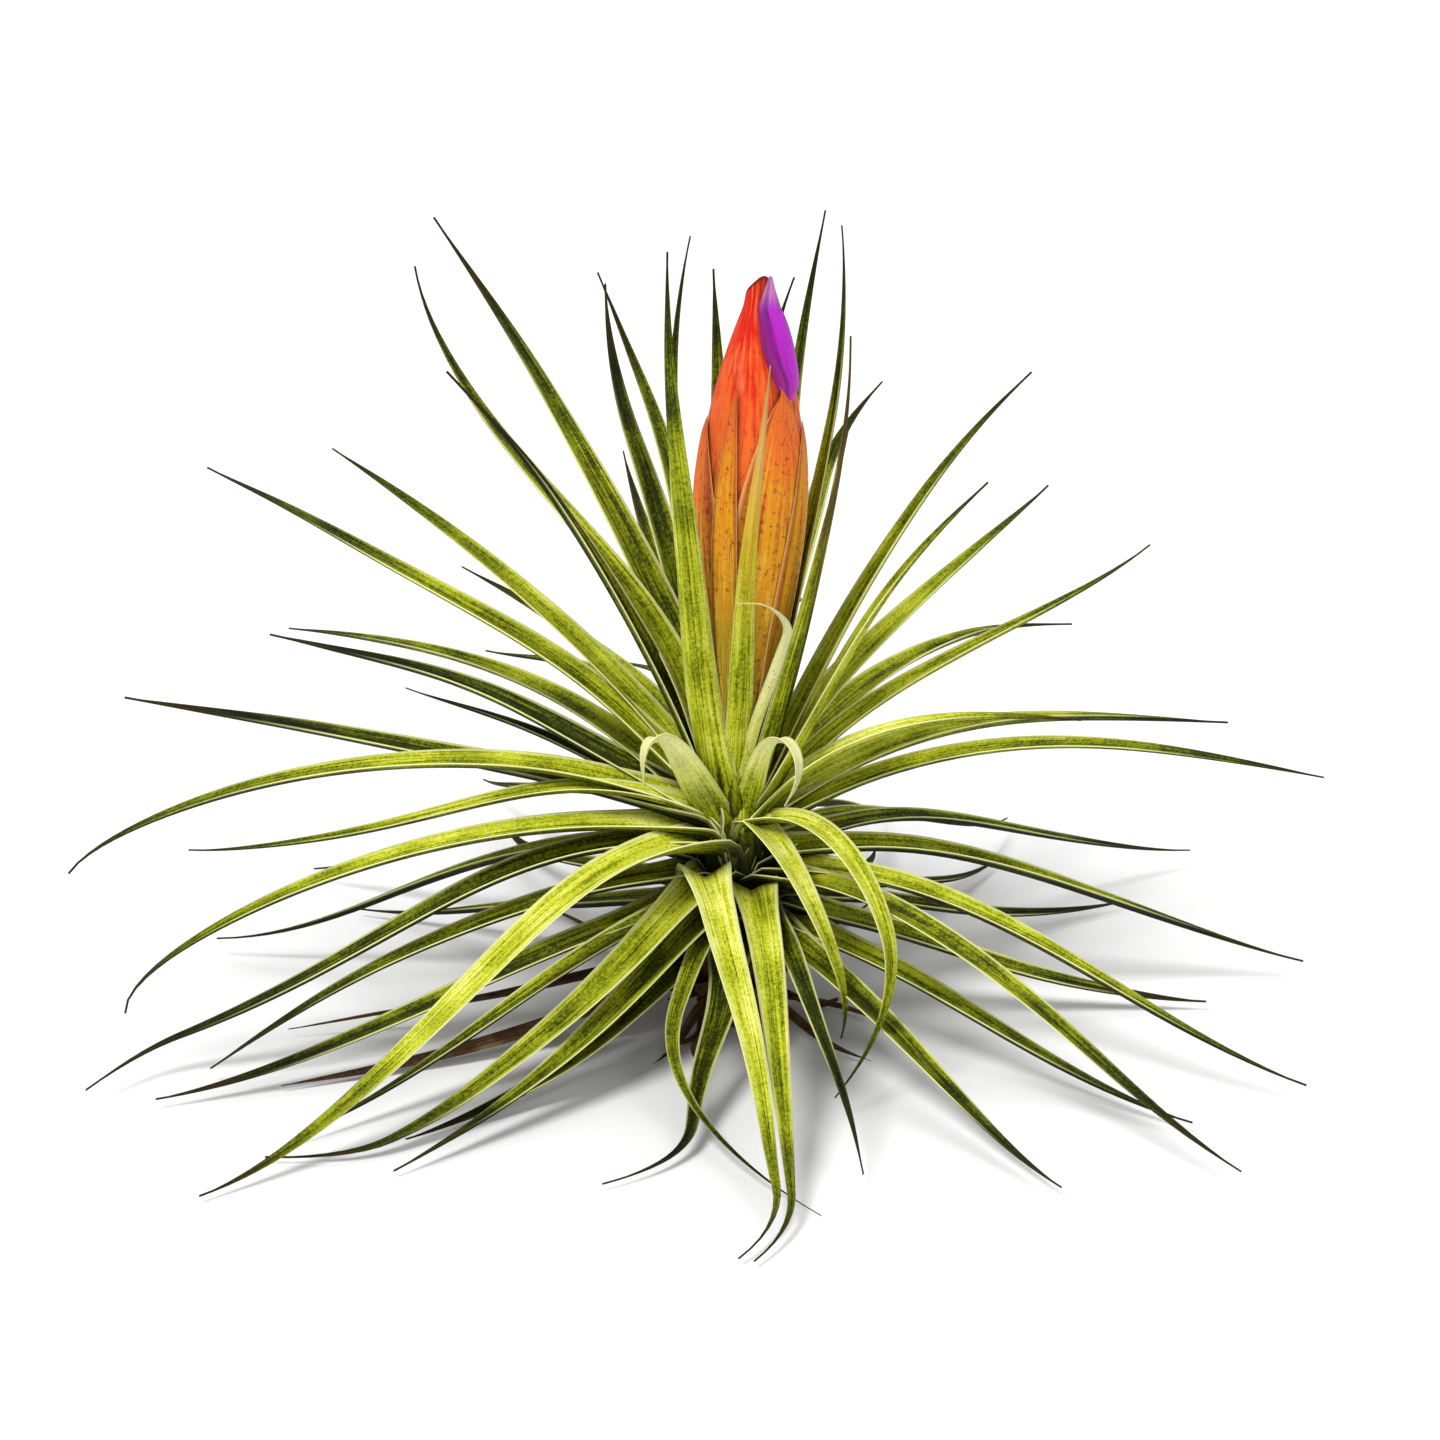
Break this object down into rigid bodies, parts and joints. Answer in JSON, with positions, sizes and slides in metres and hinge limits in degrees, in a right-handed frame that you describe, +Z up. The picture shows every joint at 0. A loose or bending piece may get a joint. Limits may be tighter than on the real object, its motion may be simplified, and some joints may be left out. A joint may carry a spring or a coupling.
{
  "type": "ionantha air plant in flower",
  "caption": "Air plant rosette of narrow channelled leaves arching to the table, with an orange spindle flower head and a violet bud.",
  "frame": {"origin": "on the stem's axis, at the flat foot of the root stub, on the table", "axes": "+Z up along the stem, +X to the right and +Y away from the viewer of the picture, towards which the bloom's open side faces"},
  "size_m": [0.1691, 0.1539, 0.107],
  "materials": {
    "leaf": "matte",
    "bract": "satin",
    "petal": "satin",
    "dry": "matte"
  },
  "bodies": {
    "root": {"leaf_rosette": "leaf", "flower_spike": "bract", "violet_bud": "petal", "root_stub": "dry"}
  },
  "joints": []
}
